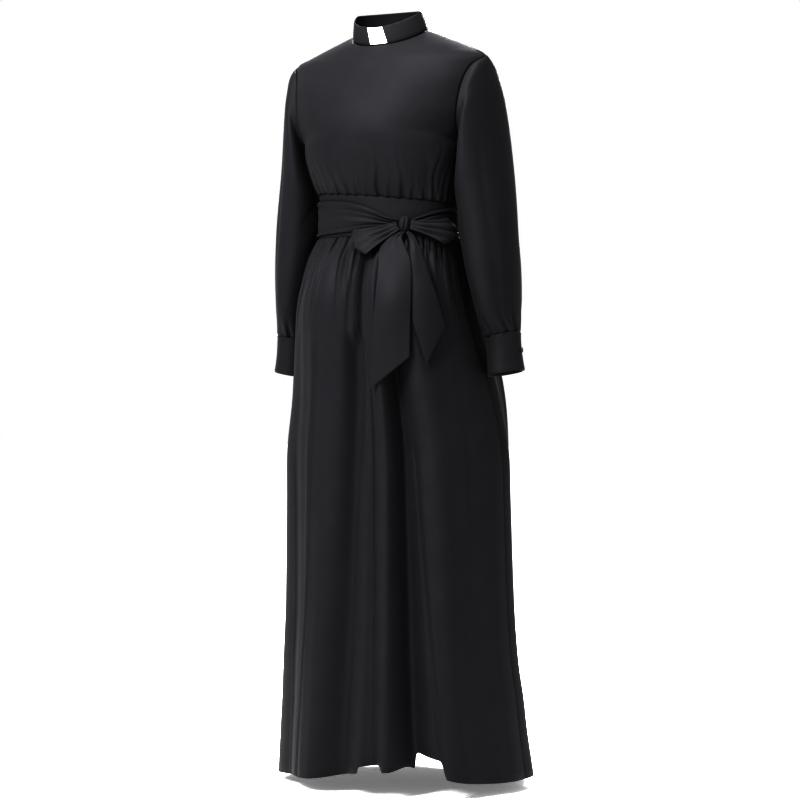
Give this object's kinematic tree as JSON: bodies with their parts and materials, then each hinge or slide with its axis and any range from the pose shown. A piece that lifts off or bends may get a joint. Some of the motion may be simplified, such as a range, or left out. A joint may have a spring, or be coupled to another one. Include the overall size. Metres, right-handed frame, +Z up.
{
  "type": "clergy dress",
  "caption": "Floor-length black clerical dress with stand collar and white tab, gathered bodice, long cuffed sleeves, tied sash belt and full gathered skirt, worn open and hollow.",
  "frame": {"origin": "in the middle of the neck, level with the neck points of the shoulder seams, where the shoulders carry the dress", "axes": "+Z up, +X towards the wearer's left, the wearer faces -Y"},
  "size_m": [0.541, 0.4718, 1.5273],
  "materials": {
    "black_crepe": "matt black crepe with a faint sheen",
    "tab_white": "smooth white collar tab",
    "button_black": "polished black"
  },
  "bodies": {
    "root": {"bodice_front": "black_crepe", "bodice_back_left": "black_crepe", "bodice_back_right": "black_crepe", "sleeve_left": "black_crepe", "sleeve_right": "black_crepe", "cuff_left": "black_crepe", "cuff_right": "black_crepe", "cuff_button_left": "button_black", "cuff_button_right": "button_black", "collar_left": "black_crepe", "collar_right": "black_crepe", "collar_tab": "tab_white", "waistband_front": "black_crepe", "waistband_back_left": "black_crepe", "waistband_back_right": "black_crepe", "skirt_front": "black_crepe", "skirt_back_left": "black_crepe", "skirt_back_right": "black_crepe", "sash_wrap_right": "black_crepe", "sash_wrap_left": "black_crepe", "sash_wrap_back": "black_crepe", "sash_knot": "black_crepe", "bow_loop_right": "black_crepe", "bow_loop_left": "black_crepe", "sash_tail_right": "black_crepe", "sash_tail_left": "black_crepe"}
  },
  "joints": []
}
